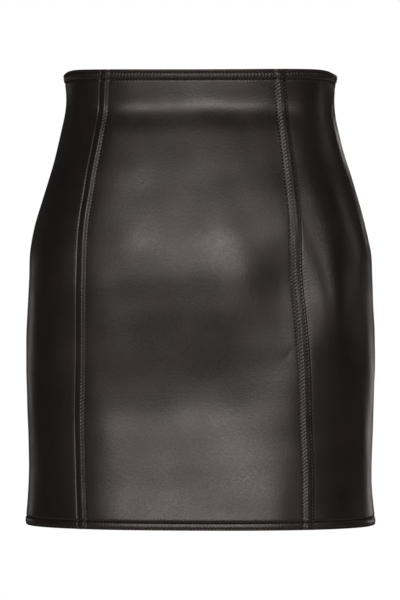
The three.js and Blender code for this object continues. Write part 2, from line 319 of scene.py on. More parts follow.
def crease_axes(crease, turn, down):
    """Distances along and across a slanted crease, in millimetres from its middle."""
    slant = np.radians(crease["slant"])
    across = (turn - np.radians(crease["turn"])) * WAVE_RADIUS
    below = down - crease["down"]
    lengthwise = across * np.cos(slant) + below * np.sin(slant)
    crosswise = below * np.cos(slant) - across * np.sin(slant)
    return lengthwise, crosswise


def relief(turn, down, strength):
    """Slow waves of the hide, and small slanted creases as narrow bells pressed in."""
    total = 0
    for wave in WAVES:
        slant = np.radians(wave["slant"])
        way = turn * WAVE_RADIUS * np.cos(slant) + down * np.sin(slant)
        total = total + wave["tall"] * np.sin(2 * np.pi * way / wave["long"] + wave["phase"])
    for crease in CREASES:
        lengthwise, crosswise = crease_axes(crease, turn, down)
        within = (lengthwise / crease["long"]) ** 2 + (crosswise / crease["wide"]) ** 2
        total = total - crease["deep"] * np.exp(-within)
    return total * strength


def skin(turn, down, height):
    """A point at a height out of the inner face of a plain panel, with the folds in it."""
    lift = height - LEATHER + folds(turn, down)
    return section(turn, down) + outward(turn, down) * lift[..., None]


def further(turn, down, distance):
    """The turn that lies some millimetres further round the skirt."""
    return turn + distance / round_speed(turn, down)


def lap_edge(hand, down):
    """The turn of a lap's outer edge, found by halving between the front and the side."""
    distance = along(LAPS, "left" if hand > 0 else "right", down)
    low = np.zeros_like(distance)
    high = np.full_like(distance, np.pi / 2)
    for _ in range(HALVINGS):
        middle = (low + high) / 2
        short = section(middle, down)[..., 0] < distance
        low = np.where(short, middle, low)
        high = np.where(short, high, middle)
    return hand * (low + high) / 2


def half_slot(down):
    """Half the opening at the centre back: the zip's slot, closing to a seam whose edges press
    together."""
    past = np.clip((down - ZIP_LENGTH) / SLOT_CLOSING, 0, 1)
    return ZIP_SLOT / 2 - (SEWN_OVERLAP / 2 + ZIP_SLOT / 2) * past


def bell(distance, centre, width):
    """A smooth bell, 1 at its centre and nearly 0 two widths away."""
    return np.exp(-(((distance - centre) / width) ** 2))


def bells(distance, lines, rows):
    """A sum of bells, each placed by its distance inside one of the lines."""
    return sum(tall * bell(distance, lines[line] + inside, wide)
               for line, inside, wide, tall in rows)


def rounded(distance, radius):
    """A quarter circle: 0 at an edge, rising to 1 one radius in."""
    t = np.clip(distance / radius, 0, 1)
    return np.sqrt(1 - (1 - t) ** 2)


def eased(distance, start, span):
    """A smooth step from 0 to 1 over a span."""
    t = np.clip((distance - start) / span, 0, 1)
    return t * t * (3 - 2 * t)


class Panel:
    """The grid of one panel: turns round the skirt, rows down it, and how far each point lies
    from the panel's two upright edges, as the running length of its row."""

    def __init__(self, start, stop, first, middle, last):
        self.down = np.linspace(0, LENGTH, ROWS + 1)[:, None]
        near = further(start(self.down), self.down, STEP * np.arange(first * CELL + 1))
        far = further(stop(self.down), self.down, STEP * np.arange(-last * CELL, 1))
        share = np.linspace(0, 1, middle * CELL + 1)[1:-1]
        between = near[:, -1:] + (far[:, :1] - near[:, -1:]) * share
        self.turn = np.hstack([near, between, far])
        self.cells = first + middle + last
        steps = np.linalg.norm(np.diff(section(self.turn, self.down), axis=1), axis=2)
        self.from_start = np.hstack([np.zeros_like(self.down), np.cumsum(steps, axis=1)])
        self.from_stop = self.from_start[:, -1:] - self.from_start
        self.above_hem = LENGTH - self.down

    def shape(self, high, low, edge, uneven):
        """Sets both faces of the wall. They part at the rims like the rim of a coin: the share
        of the wall's thickness follows a quarter circle in from each edge."""
        middle = (high + low) / 2
        rim = rounded(self.down, LEATHER) * rounded(self.above_hem, LEATHER) * edge
        soft = relief(self.turn, self.down, uneven)
        self.outer = skin(self.turn, self.down, middle + (high - middle) * rim + soft)
        self.inner = skin(self.turn, self.down, middle - (middle - low) * rim + soft)
        self.inner[0] = self.outer[0]
        self.inner[-1] = self.outer[-1]
        self.inner[:, 0] = self.outer[:, 0]
        self.inner[:, -1] = self.outer[:, -1]

    def cut(self):
        """Widest width, longest length and area of the leather, with its turned edges."""
        rows = np.linalg.norm(np.diff(self.outer, axis=1), axis=2).sum(axis=1)
        length = LENGTH + 2 * TURNING
        area = rows.mean() * length
        return (rows.max() * MM, length * MM), area * MM * MM


def needle_holes(phase, sharpness=1.5):
    """How far the leather is pulled in along a row: 1 at each needle hole, 0 halfway between."""
    return (0.5 + 0.5 * np.cos(2 * np.pi * phase)) ** sharpness


def turned_edge(distance, lengthwise, rows, shape, ribs):
    """Height of a turned and twice stitched edge: a flat puffed band between two sunk rows,
    dimpled at each needle hole, and ribbed by the share given."""
    first, second = rows
    ease_in, ease_out = BAND_EASE
    band = eased(distance, first, ease_in) * (1 - eased(distance, second - ease_out, ease_out))
    puffed = BAND_PUFF * band - bells(distance, rows, EDGE_SUNK)
    gathers = bells(distance, rows, EDGE_GATHERS) + ribs * band
    return shape.puff * puffed - shape.pucker * needle_holes(lengthwise / PITCH) * gathers


def band_heights(panel, shape):
    """The turned and stitched bands of a panel at its waist edge and its hem."""
    waist = turned_edge(panel.down, panel.from_start, WAIST_ROWS, shape, WAIST_RIBS)
    hem = turned_edge(panel.above_hem, panel.from_start, HEM_ROWS, shape, HEM_RIBS)
    return waist + hem


def turned_under(panel):
    """Thickness of the second layer inside the waist edge and the hem."""
    nearest = np.minimum(panel.down, panel.above_hem)
    return LEATHER * (1 - eased(nearest, TURNING, TURNING_STEP))


class Shape:
    """The sizes of the property group, in millimetres."""

    def __init__(self, sizes):
        self.puff = sizes.puff / MM
        self.pucker = sizes.pucker / MM
        self.uneven = sizes.unevenness
        self.thread = sizes.thread / MM / 2


def lap_height(inside, down, shape, hand):
    """Height of the lapped seam, by the distance inside its outer edge: a rolled edge, a sunk
    row, a slope up to the crest, and a nearly straight slope down to the foot before the second
    row, sunk below the body of the panel. The dimples of the needle holes lie slanted."""
    side = "left" if hand > 0 else "right"
    lines = (0, *LAP_LINES[side])
    first, crest, second = LAP_LINES[side]
    rise = np.clip((inside - first) / (crest - first), 0, 1) ** CREST_POWER
    flank = second - LAP_FOOT - crest
    straight = np.clip((inside - crest) / flank, 0, 1)
    fall = (1 - ROUNDED_SHARE) * straight + ROUNDED_SHARE * eased(inside, crest, flank)
    body = BODY_SUNK * np.where(inside < second, fall, bell(inside, second, BODY_RISE))
    bevel = LAP_BEVEL[side] * np.clip(1 - inside / first, 0, 1)
    edge = bells(inside, lines, LAP_EDGE[side]) - bevel
    gathers = bells(inside, lines, LAP_GATHERS) * (1 - eased(inside, *LAP_GATHERS_END))
    gathers = gathers + bells(inside, lines, LAP_EDGE_GATHERS)
    at_waist, more, begins, span = LAP_PULL[side]
    pull = at_waist + more * eased(down, begins, span)
    swing = np.sin(down / PULL_SWING["slow"]) * np.sin(down / PULL_SWING["quick"] + 1)
    pull = pull * (1 + PULL_SWING["share"] * swing)
    hole = needle_holes(down / PITCH - hand * LAP_HOLE_SLANT * (inside - second))
    over = (LEATHER + SEAM_GAP) * (1 - fall)
    puffed = shape.puff * (LAP_CREST[side] * rise * (1 - fall) + edge - body)
    return LEATHER + over + puffed - shape.pucker * pull * hole * gathers


def front_panel(shape):
    """The centre front panel, whose two upright edges are lapped over the side fronts."""
    panel = Panel(lambda down: lap_edge(-1, down), lambda down: lap_edge(1, down), *FRONT_CELLS)
    inside = np.minimum(panel.from_start, panel.from_stop)
    on_left = panel.from_stop < panel.from_start
    left, right = (lap_height(inside, panel.down, shape, hand) for _, hand in HANDS)
    high = np.where(on_left, left, right) + band_heights(panel, shape)
    down_from = np.where(on_left, LAP_STEP["left"], LAP_STEP["right"])
    step = (LEATHER + SEAM_GAP) * (1 - eased(inside, down_from, STEP_SPAN))
    layer = turned_under(panel) * eased(inside, *LAP_SPAN)
    low = np.minimum(step - layer, high - THINNEST)
    panel.shape(high, low, rounded(inside, LAP_RIM), shape.uneven)
    return panel


def seam_heights(from_seam, shape):
    """A plain seam: the leather rolls in at its edge and puffs a little beside it."""
    return shape.puff * bells(from_seam, (0,), SEAM_PUFF)


def seam_allowance(from_seam):
    """Thickness of the allowance that is turned back inside along a plain seam."""
    return LEATHER * (1 - eased(from_seam, ALLOWANCE, TURNING_STEP))


def side_seam(hand, towards_back):
    """The side seam, where the sewn edges press together and overlap by a hair."""
    seam = hand * SIDE_SEAM_TURN
    return lambda down: further(seam, down, -hand * towards_back * SEWN_OVERLAP / 2)


def side_panel(hand, near, far, cells):
    """A panel of one side of the skirt, and the distances from its two upright edges: the one
    nearer the front and the one nearer the back."""
    if hand > 0:
        panel = Panel(near, far, *cells)
        return panel, panel.from_start, panel.from_stop
    panel = Panel(far, near, *cells[::-1])
    return panel, panel.from_stop, panel.from_start


def side_front(shape, hand):
    """A side front, from under the lap to the side seam."""
    def hidden(down):
        return further(lap_edge(hand, down), down, -hand * TUCK)

    seam = side_seam(hand, -1)
    panel, from_hidden, from_seam = side_panel(hand, hidden, seam, SIDE_CELLS)
    hole = needle_holes(panel.down / PITCH + BESIDE_LAP_SLANT * from_hidden, 1)
    pressed = shape.puff * bells(from_hidden, (TUCK,), BESIDE_LAP_SUNK)
    gathered = shape.pucker * hole * bells(from_hidden, (TUCK,), BESIDE_LAP_GATHERS)
    clear = eased(from_hidden, *BESIDE_LAP_BANDS)
    high = LEATHER + band_heights(panel, shape) * clear + seam_heights(from_seam, shape)
    high = high - pressed - gathered
    low = -np.maximum(turned_under(panel), seam_allowance(from_seam))
    edge = rounded(from_hidden, LEATHER / 2) * rounded(from_seam, LEATHER / 2)
    panel.shape(high, low, edge, shape.uneven)
    return panel


def back_panel(shape, hand):
    """Half of the back, from the side seam to the folded edge beside the zip."""
    def fold(down):
        return further(hand * np.pi, down, -hand * half_slot(down))

    panel, from_seam, from_fold = side_panel(hand, side_seam(hand, 1), fold, BACK_CELLS)
    beside_zip = 1 - eased(panel.down, ZIP_LENGTH + SLOT_CLOSING / 2, SLOT_CLOSING / 2)
    hole = needle_holes(panel.down / PITCH, 1)
    puffed = shape.puff * bells(from_fold, (0, ZIP_ROW), BESIDE_ZIP_PUFF)
    gathered = shape.pucker * hole * bells(from_fold, (0, ZIP_ROW), BESIDE_ZIP_GATHERS)
    zip_edge = beside_zip * (puffed - gathered)
    plain = (1 - beside_zip) * seam_heights(from_fold, shape)
    high = LEATHER + band_heights(panel, shape) + seam_heights(from_seam, shape)
    bare = 1 - beside_zip * (1 - eased(from_fold, ALLOWANCE, TURNING_STEP))
    at_fold = seam_allowance(from_fold) * (1 - beside_zip)
    low = -np.maximum(np.maximum(turned_under(panel) * bare, seam_allowance(from_seam)), at_fold)
    edge = rounded(from_seam, LEATHER / 2) * rounded(from_fold, LEATHER / 2)
    panel.shape(high + zip_edge + plain, low, edge, shape.uneven)
    return panel


def cell_rim():
    """Steps down and across to the points round a cell, from its top corner, counter-clockwise."""
    run = np.arange(CELL)
    top = np.zeros(CELL, int)
    end = top + CELL
    return np.concatenate([run, end, CELL - run, top]), np.concatenate([top, run, end, CELL - run])


def busy_steps(busy):
    """The row and the column of every grid step inside the busy cells."""
    return np.nonzero(np.repeat(np.repeat(busy, CELL, axis=0), CELL, axis=1))


def sheet_faces(ids, busy, used, flip):
    """Faces of one side of a wall. Busy cells give a quad for each step. A calm cell is one
    polygon through all the points on its rim that any other face uses."""
    i, j = busy_steps(busy)
    quads = np.stack([ids[i, j], ids[i + 1, j], ids[i + 1, j + 1], ids[i, j + 1]], axis=1)
    below, across = cell_rim()
    m, n = np.nonzero(~busy)
    rings = ids[m[:, None] * CELL + below, n[:, None] * CELL + across]
    if flip:
        quads = quads[:, ::-1]
        rings = rings[:, ::-1]
    kept = used[rings]
    loops = np.concatenate([quads.ravel(), rings[kept]])
    sizes = np.concatenate([np.full(len(quads), 4), kept.sum(axis=1)])
    rows = np.concatenate([i + 0.5, (m + 0.5) * CELL])
    return loops, sizes, rows


def closed_wall(name, outer, inner, busy_outer, busy_inner, finishes):
    """A wall with an outer and an inner face that share their rim, as one closed mesh. The inner
    face has the second finish, but for the turned edges, where the outside shows again."""
    count = outer.shape[0] * outer.shape[1]
    outer_ids = np.arange(count).reshape(outer.shape[:2])
    inner_ids = outer_ids + count
    for rim in (np.s_[0, :], np.s_[-1, :], np.s_[:, 0], np.s_[:, -1]):
        inner_ids[rim] = outer_ids[rim]
    used = np.zeros(2 * count, bool)
    for ids, busy in ((outer_ids, busy_outer), (inner_ids, busy_inner)):
        used[ids[::CELL, ::CELL]] = True
        i, j = busy_steps(busy)
        for a, b in ((0, 0), (1, 0), (1, 1), (0, 1)):
            used[ids[i + a, j + b]] = True
    loops, sizes, _ = sheet_faces(outer_ids, busy_outer, used, False)
    inner_loops, inner_sizes, rows = sheet_faces(inner_ids, busy_inner, used, True)
    turned = np.minimum(rows, outer.shape[0] - 1 - rows) * STEP < TURNING + TURNING_STEP / 2
    finish = np.concatenate([np.zeros(len(sizes), int), np.where(turned, 0, 1)])
    number = np.cumsum(used) - 1
    points = np.concatenate([outer.reshape(-1, 3), inner.reshape(-1, 3)])[used]
    loops = number[np.concatenate([loops, inner_loops])]
    return new_mesh(name, points, loops, np.concatenate([sizes, inner_sizes]), finishes, finish)


def new_mesh(name, points, loops, sizes, finishes, finish=None):
    """An object at the origin from arrays: points in millimetres, loops and sizes of its faces."""
    mesh = bpy.data.meshes.new(name)
    mesh.vertices.add(len(points))
    mesh.vertices.foreach_set("co", (points * MM).astype(np.float32).ravel())
    mesh.loops.add(len(loops))
    mesh.loops.foreach_set("vertex_index", loops.astype(np.int32))
    mesh.polygons.add(len(sizes))
    starts = np.concatenate([[0], np.cumsum(sizes)[:-1]])
    mesh.polygons.foreach_set("loop_start", starts.astype(np.int32))
    for material in finishes:
        mesh.materials.append(material)
    if finish is not None:
        mesh.polygons.foreach_set("material_index", finish.astype(np.int32))
    mesh.update(calc_edges=True)
    mesh.shade_smooth()
    piece = bpy.data.objects.new(name, mesh)
    bpy.context.scene.collection.objects.link(piece)
    return piece


def busy_cells(panel, first, last):
    """Which cells of a panel need every step: its bands, the columns named, and its creases."""
    busy = np.zeros((ROW_CELLS, panel.cells), bool)
    busy[:EDGE_CELLS] = True
    busy[-EDGE_CELLS:] = True
    busy[:, list(first) + [-1 - i for i in last]] = True
    turn = panel.turn[CELL // 2 :: CELL, CELL // 2 :: CELL]
    down = panel.down[CELL // 2 :: CELL]
    for crease in CREASES:
        lengthwise, crosswise = crease_axes(crease, turn, down)
        near = np.abs(lengthwise) < crease["long"] * CREASE_FINE_LONG
        busy |= near & (np.abs(crosswise) < crease["wide"] * CREASE_FINE_WIDE + CREASE_MARGIN)
    return busy


def inner_cells(panel, columns=()):
    """Which cells of the inner face need every step: the fold and the end of each turned edge,
    and the columns named."""
    busy = np.zeros((ROW_CELLS, panel.cells), bool)
    busy[[0, EDGE_CELLS - 1, -EDGE_CELLS, -1]] = True
    busy[:, list(columns)] = True
    return busy


def on_grid(points, row, column):
    """Points at places between a grid's points, by straight steps both ways."""
    i = np.clip(row.astype(int), 0, points.shape[0] - 2)
    j = np.clip(column.astype(int), 0, points.shape[1] - 2)
    below = (row - i)[..., None]
    across = (column - j)[..., None]
    upper = points[i, j] * (1 - across) + points[i, j + 1] * across
    lower = points[i + 1, j] * (1 - across) + points[i + 1, j + 1] * across
    return upper * (1 - below) + lower * below


# A stitch is drawn through five places, given as shares of the pitch, with the thread sinking
# into the leather at both ends. Lift is in thread radii, and drift in millimetres.
STITCH_SHARES = np.array([0.10, 0.24, 0.50, 0.76, 0.90])
STITCH_LIFT = np.array([-1.0, -0.05, 0.3, -0.05, -1.0])
STITCH_SIZE = np.array([0.7, 1.0, 1.05, 1.0, 0.7])
STITCH_SIDES = 6
STITCH_DRIFT = 0.07
STITCH_CAP = 0.5

# Rows start this far in from the end of a line, or further where a panel lies under a lap
LINE_MARGIN = 1
BAND_MARGINS = (0.5, 0.5)
HIDDEN_MARGINS = {"side_front_left": (TUCK + 1, 0.5), "side_front_right": (0.5, TUCK + 1)}

# The first random seed of each group of rows
LAP_SEED = 10
BAND_SEED = 20
ZIP_SEED = 50


def stitches(face, row, column, length, shape, sign=1, lean=0.0, seed=1):
    """Rings of points of each stitch on one line. The line is given in grid steps, with its
    running length, and whole stitches are laid along it between its two ends. Each ring is a
    circle round the thread, spanned by the way out of the cloth and the way across the line."""
    whole = np.arange(np.ceil(length[0] / PITCH), np.floor(length[-1] / PITCH))
    at = (whole[:, None] + STITCH_SHARES) * PITCH
    rows = np.interp(at, length, row)
    columns = np.interp(at, length, column)
    path = on_grid(face, rows, columns)
    ahead = unit(path[:, -1] - path[:, 0])
    middle = on_grid(face, rows[:, 2], columns[:, 2])
    below = on_grid(face, rows[:, 2] + 1, columns[:, 2]) - middle
    round_way = on_grid(face, rows[:, 2], columns[:, 2] + 1) - middle
    out = unit(np.cross(below, round_way)) * sign
    across = np.cross(out, ahead)
    random = np.random.default_rng(seed)
    drift = random.normal(0, STITCH_DRIFT, (len(whole), 1, 1))
    twist = lean * (STITCH_SHARES - 0.5) * PITCH
    path = path + across[:, None] * (drift + twist[None, :, None])
    path = path + out[:, None] * (STITCH_LIFT * shape.thread)[None, :, None]
    angle = np.linspace(0, 2 * np.pi, STITCH_SIDES, endpoint=False)[:, None]
    circle = np.cos(angle) * out[:, None, None] + np.sin(angle) * across[:, None, None]
    rings = path[:, :, None] + circle * (STITCH_SIZE * shape.thread)[None, :, None, None]
    caps = np.array([-STITCH_CAP, STITCH_CAP])[None, :, None] * shape.thread
    ends = path[:, [0, -1]] + ahead[:, None] * caps
    return np.concatenate([rings.reshape(len(whole), -1, 3), ends], axis=1)


def ring_faces(rings, sides):
    """Faces round a shape: quads between its rings of points, and a fan to a point at each end.
    The two end points come after the rings."""
    side = np.arange(sides)
    after = (side + 1) % sides
    quad = np.stack([side, after, after + sides, side + sides], axis=1)
    quads = np.concatenate([quad + k * sides for k in range(rings - 1)])
    last = (rings - 1) * sides
    end = np.full(sides, rings * sides)
    fans = [
        np.stack([end, after, side], axis=1),
        np.stack([end + 1, last + side, last + after], axis=1),
    ]
    return quads, np.concatenate(fans)


def repeated(name, blocks, quads, fans, finishes):
    """One mesh from many like blocks of points: the faces of the first, moved on to each."""
    points = np.concatenate([block.reshape(-1, 3) for block in blocks])
    size = blocks[0].shape[1]
    count = len(points) // size
    shift = (np.arange(count) * size)[:, None, None]
    loops = np.concatenate([(quads + shift).ravel(), (fans + shift).ravel()])
    sizes = np.concatenate([np.full(count * len(quads), 4), np.full(count * len(fans), 3)])
    return new_mesh(name, points, loops, sizes, finishes)


def upright_line(panel, distance, top, bottom, from_start):
    """A line down a panel, some millimetres in from one of its upright edges, in grid steps."""
    row = np.arange(top / STEP, bottom / STEP)
    steps = distance / STEP
    column = np.full_like(row, steps if from_start else panel.turn.shape[1] - 1 - steps)
    return row, column, row * STEP


def level_line(panel, down, begin=0, end=0):
    """A line across a panel, some millimetres down, short of its ends by begin and end."""
    row = down / STEP
    lengths = panel.from_start[int(round(row))]
    keep = (lengths > begin) & (lengths < lengths[-1] - end)
    column = np.flatnonzero(keep).astype(float)
    return np.full_like(column, row), column, lengths[keep]


def fill(tree, node, inputs):
    """Gives a node its inputs. An input is a value or another node's output."""
    for key, value in inputs.items():
        if isinstance(value, bpy.types.NodeSocket):
            tree.links.new(value, node.inputs[key])
        else:
            node.inputs[key].default_value = value
    return node


def add_node(tree, kind, inputs=None, **settings):
    """A shader node with its settings and inputs."""
    node = tree.nodes.new(kind)
    for key, value in settings.items():
        setattr(node, key, value)
    return fill(tree, node, inputs or {})


def new_material(name):
    """An empty material with a Principled shader, and the object's own coordinates."""
    material = bpy.data.materials.new(name)
    material.use_nodes = True
    tree = material.node_tree
    tree.nodes.clear()
    shader = add_node(tree, "ShaderNodeBsdfPrincipled")
    add_node(tree, "ShaderNodeOutputMaterial", {"Surface": shader.outputs["BSDF"]})
    place = add_node(tree, "ShaderNodeTexCoord").outputs["Object"]
    return material, tree, shader, place


def noise(tree, place, size, detail=2.0, roughness=0.5, distortion=0.0):
    """Noise whose lumps measure about size millimetres."""
    inputs = {"Vector": place, "Scale": 1 / (size * MM), "Detail": detail,
              "Roughness": roughness, "Distortion": distortion}
    return add_node(tree, "ShaderNodeTexNoise", inputs).outputs["Fac"]


def spread(tree, value, low, high, to_low, to_high):
    """A value carried from one range to another, and held at its ends."""
    inputs = {"Value": value, "From Min": low, "From Max": high,
              "To Min": to_low, "To Max": to_high}
    return add_node(tree, "ShaderNodeMapRange", inputs).outputs["Result"]


def combine(tree, operation, first, second):
    """Two values brought together by one operation."""
    inputs = {0: first, 1: second}
    return add_node(tree, "ShaderNodeMath", inputs, operation=operation).outputs["Value"]


def tint(tree, value, colour, gain):
    """A colour by a value from 0 to 1: as it is given at 0, and times the gain at 1."""
    inputs = {"Factor": value, 6: (*colour, 1), 7: (*np.multiply(tuple(colour), gain), 1)}
    return add_node(tree, "ShaderNodeMix", inputs, data_type="RGBA").outputs[2]


def raised(tree, height, depth, strength=1.0, under=None):
    """A bump whose full height is depth millimetres, on top of another where one is given."""
    inputs = {"Height": height, "Distance": depth * MM, "Strength": strength}
    if under is not None:
        inputs["Normal"] = under
    return add_node(tree, "ShaderNodeBump", inputs).outputs["Normal"]


def leather_finish(looks):
    """Smooth nappa: pebbled grain, pores, faint mottling and a soft broad gloss."""
    material, tree, shader, place = new_material("black_nappa")
    grain = looks.grain / MM
    cells = add_node(tree, "ShaderNodeTexVoronoi", {"Vector": place, "Scale": 1 / looks.grain},
                     feature="F1").outputs["Distance"]
    mottle = noise(tree, place, grain * 2.5, 3.0, 0.6)
    patches = noise(tree, place, 42, 2.0)
    pores = noise(tree, place, grain * 0.6, 2.0, 0.6)
    warmer = spread(tree, patches, 0.35, 0.65, 0, 1)
    fine = spread(tree, mottle, 0.3, 0.7, -0.05, 0.05)
    broad = spread(tree, patches, 0.3, 0.7, looks.roughness - 0.03, looks.roughness + 0.03)
    pebble = raised(tree, cells, 0.05, 0.7, raised(tree, mottle, 0.12, 0.8))
    fill(tree, shader, {
        "Base Color": tint(tree, warmer, looks.leather, (1.5, 1.2, 1.15)),
        "Roughness": combine(tree, "ADD", fine, broad),
        "IOR": 1.5,
        "Coat Weight": 0.12,
        "Coat Roughness": 0.32,
        "Normal": raised(tree, pores, 0.03, 0.6, pebble),
    })
    return material


def flesh_finish(looks):
    """The brushed inner side of the leather: matt, fibrous and a little greyer."""
    material, tree, shader, place = new_material("black_suede")
    fibre = noise(tree, place, 0.7, 4.0, 0.7, 0.6)
    clouds = noise(tree, place, 26, 3.0)
    blend = combine(tree, "MULTIPLY", spread(tree, fibre, 0.3, 0.7, 0.2, 1),
                   spread(tree, clouds, 0.3, 0.7, 0.5, 1))
    fill(tree, shader, {
        "Base Color": tint(tree, blend, looks.flesh, 1.7),
        "Roughness": spread(tree, fibre, 0.2, 0.8, 0.82, 0.97),
        "Sheen Weight": 0.25,
        "Sheen Roughness": 0.6,
        "Normal": raised(tree, fibre, 0.12, 0.7),
    })
    return material


def thread_finish(looks):
    """Bonded black thread: fine twisted plies with a waxy gloss."""
    material, tree, shader, place = new_material("waxed_thread")
    ply = noise(tree, place, 0.25, 2.0, 0.6, 0.4)
    fill(tree, shader, {
        "Base Color": tint(tree, ply, looks.thread_colour, 1.8),
        "Roughness": spread(tree, ply, 0.3, 0.7, 0.6, 0.8),
        "Specular IOR Level": 0.12,
        "Normal": raised(tree, ply, 0.05, 0.6),
    })
    return material


# A wave texture of scale 1 repeats about every 0.314 units
WAVE_SCALE = 0.314


def tape_finish(looks):
    """Woven zip tape: ribs across it and a finer weave down it."""
    material, tree, shader, place = new_material("woven_tape")
    weave = [
        add_node(tree, "ShaderNodeTexWave", {"Vector": place, "Scale": WAVE_SCALE / (size * MM)},
                 wave_type="BANDS", bands_direction=direction).outputs["Fac"]
        for direction, size in (("X", 0.7), ("Z", 0.5))
    ]
    woven = combine(tree, "MULTIPLY", *weave)
    fill(tree, shader, {
        "Base Color": tint(tree, woven, looks.tape, 2.2),
        "Roughness": spread(tree, woven, 0, 1, 0.9, 0.75),
        "Normal": raised(tree, woven, 0.12),
    })
    return material


def metal_finish(looks):
    """Dark plated metal with a brushed, slightly worn surface."""
    material, tree, shader, place = new_material("gunmetal")
    worn = noise(tree, place, 2.2, 4.0, 0.65)
    brushed = noise(tree, place, 0.3, 2.0, 0.5, 1.5)
    fill(tree, shader, {
        "Base Color": tint(tree, spread(tree, worn, 0.4, 0.75, 0, 1), looks.metal, 1.7),
        "Roughness": spread(tree, worn, 0.3, 0.7, 0.24, 0.4),
        "Metallic": 1,
        "Normal": raised(tree, brushed, 0.02, 0.5),
    })
    return material


FINISHES = {
    "black_nappa": leather_finish,
    "black_suede": flesh_finish,
    "waxed_thread": thread_finish,
    "woven_tape": tape_finish,
    "gunmetal": metal_finish,
}


def finish_of(key, context):
    """The finish of a kind, made when it is first asked for."""
    return bpy.data.materials.get(key) or FINISHES[key](context.scene.skirt_looks)


DISTANCE = {"subtype": "DISTANCE", "unit": "LENGTH"}
FACTOR = {"subtype": "FACTOR"}


def number_property(name, description, default, low, high, kind):
    """A number of a kind, between two limits."""
    return bpy.props.FloatProperty(name=name, description=description, default=default,
                                   min=low, max=high, **kind)


def colour_property(name, description, default):
    """A colour."""
    return bpy.props.FloatVectorProperty(name=name, description=description, default=default,
                                         size=3, min=0, max=1, subtype="COLOR")


class SkirtSizes(bpy.types.PropertyGroup):
    """Sizes of the leather's and the thread's form."""

    puff: number_property(
        "Puff", "Height of the ridges between rows of stitches", 0.001, 0, 0.002, DISTANCE)
    pucker: number_property(
        "Pucker", "Depth that each needle hole pulls in", 0.00042, 0, 0.001, DISTANCE)
    unevenness: number_property(
        "Unevenness", "Strength of the hide's slow waves and small creases", 1, 0, 3, FACTOR)
    thread: number_property(
        "Thread", "Thickness of the topstitching thread", 0.00075, 0.0002, 0.001, DISTANCE)


class SkirtLooks(bpy.types.PropertyGroup):
    """Colours and gloss of the finishes."""

    leather: colour_property(
        "Leather", "Colour of the outside of the leather", (0.0135, 0.0120, 0.0115))
    flesh: colour_property(
        "Flesh side", "Colour of the brushed inside of the leather", (0.020, 0.019, 0.019))
    thread_colour: colour_property(
        "Thread", "Colour of the topstitching thread", (0.004, 0.004, 0.004))
    tape: colour_property(
        "Zip tape", "Colour of the woven zip tape", (0.012, 0.012, 0.013))
    metal: colour_property(
        "Zip metal", "Colour of the zip's teeth, slider and pull", (0.16, 0.16, 0.17))
    floor: colour_property(
        "Floor", "Colour of the studio floor", (0.80, 0.79, 0.78))
    roughness: number_property(
        "Roughness", "Roughness of the leather's gloss", 0.33, 0.1, 1, FACTOR)
    grain: number_property(
        "Grain", "Size of one pebble of the leather's grain", 0.0008, 0.0002, 0.004, DISTANCE)


def settle(piece, body, slot, *nodes):
    """Joins a piece to the body it moves with, and hides the solids it stands for. The slot is not
    used.
    """
    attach(piece, body)
    if nodes:
        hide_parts(*nodes)


def add_panel(context, key, panel, ends, columns=()):
    """Makes the leather of a panel in place of its solid, and works out the size it is cut to."""
    panels[key] = panel
    finishes = [finish_of("black_nappa", context), finish_of("black_suede", context)]
    piece = closed_wall(f"{key}_leather", panel.outer, panel.inner,
                        busy_cells(panel, *ends), inner_cells(panel, columns), finishes)
    settle(piece, "skirt", "leather", key)
    flat, area = panel.cut()


class SKIRT_OT_panels(bpy.types.Operator):
    """Makes the centre front panel, the two side fronts and the two halves of the back"""

    bl_idname = "skirt.panels"
    bl_label = "Leather panels"

    def execute(self, context):
        shape = Shape(context.scene.skirt_sizes)
        edge = range(EDGE_CELLS)
        inner = (edge[-1], -EDGE_CELLS)
        add_panel(context, "front_panel", front_panel(shape), (edge, edge), inner)
        for name, hand in HANDS:
            ends = (edge[1:], edge[:1])[::hand]
            add_panel(context, f"side_front_{name}", side_front(shape, hand), ends)
        for name, hand in HANDS:
            ends = (edge[:1], edge[:2])[::hand]
            add_panel(context, f"back_panel_{name}", back_panel(shape, hand), ends)
        return {"FINISHED"}


